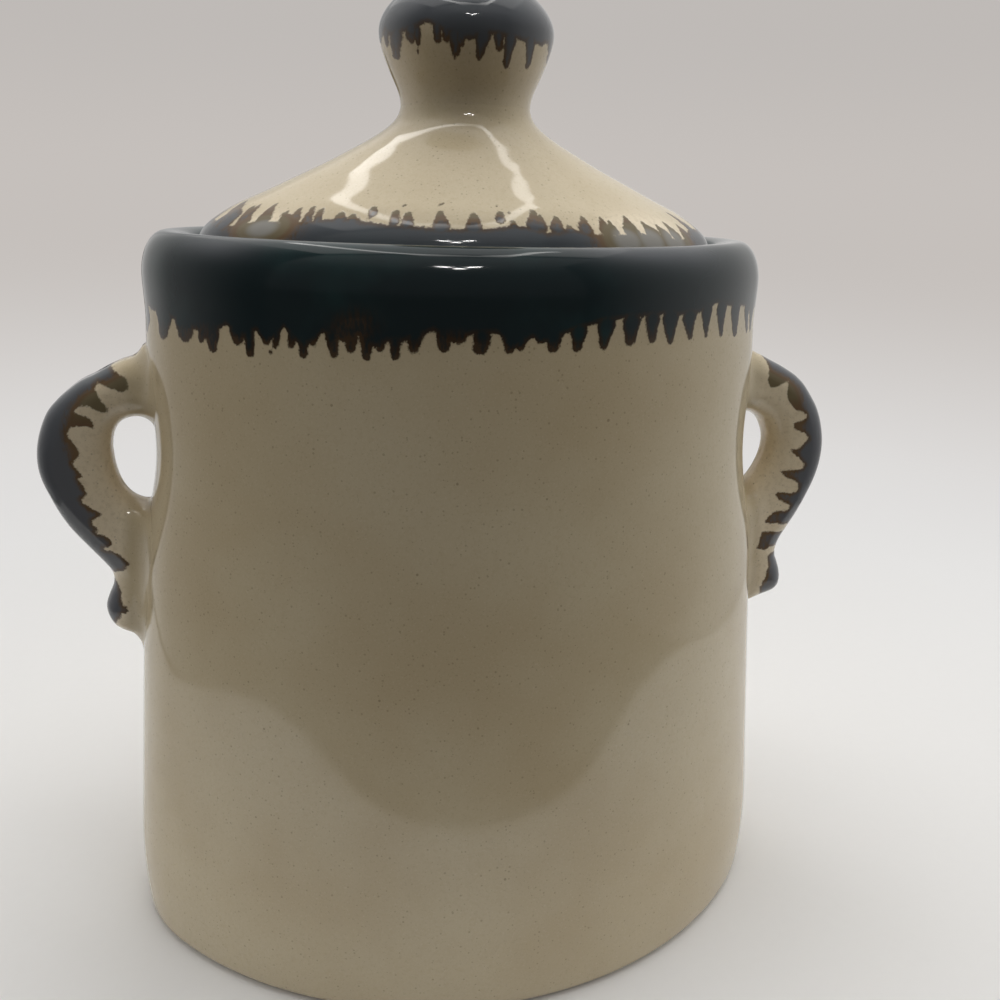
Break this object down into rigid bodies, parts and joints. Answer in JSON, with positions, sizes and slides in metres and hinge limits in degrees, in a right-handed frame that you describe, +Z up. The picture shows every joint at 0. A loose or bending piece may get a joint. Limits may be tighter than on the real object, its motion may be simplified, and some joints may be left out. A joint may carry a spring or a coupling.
{
  "type": "olive jar",
  "caption": "Oval glazed pottery crock with a recessed conical lid, round knob, painted rim and a small ear handle at each end.",
  "frame": {"origin": "on the table, under the middle of the jar", "axes": "+Z up; +X along the long axis, towards the right-hand ear; +Y from the front to the back"},
  "size_m": [0.1778, 0.1114, 0.2014],
  "materials": {
    "cream_glaze": "gloss glaze, brushed dark green at the rim, lid edge, knob and ears"
  },
  "bodies": {
    "jar": {"jar_body": "cream_glaze", "left_handle": "cream_glaze", "right_handle": "cream_glaze"},
    "lid": {"lid": "cream_glaze", "lid_knob": "cream_glaze"}
  },
  "joints": [
    {"name": "lid_lift", "type": "slide", "parent": "jar", "child": "lid", "axis": [0, 0, 1], "range_m": [0, 0.06]}
  ]
}
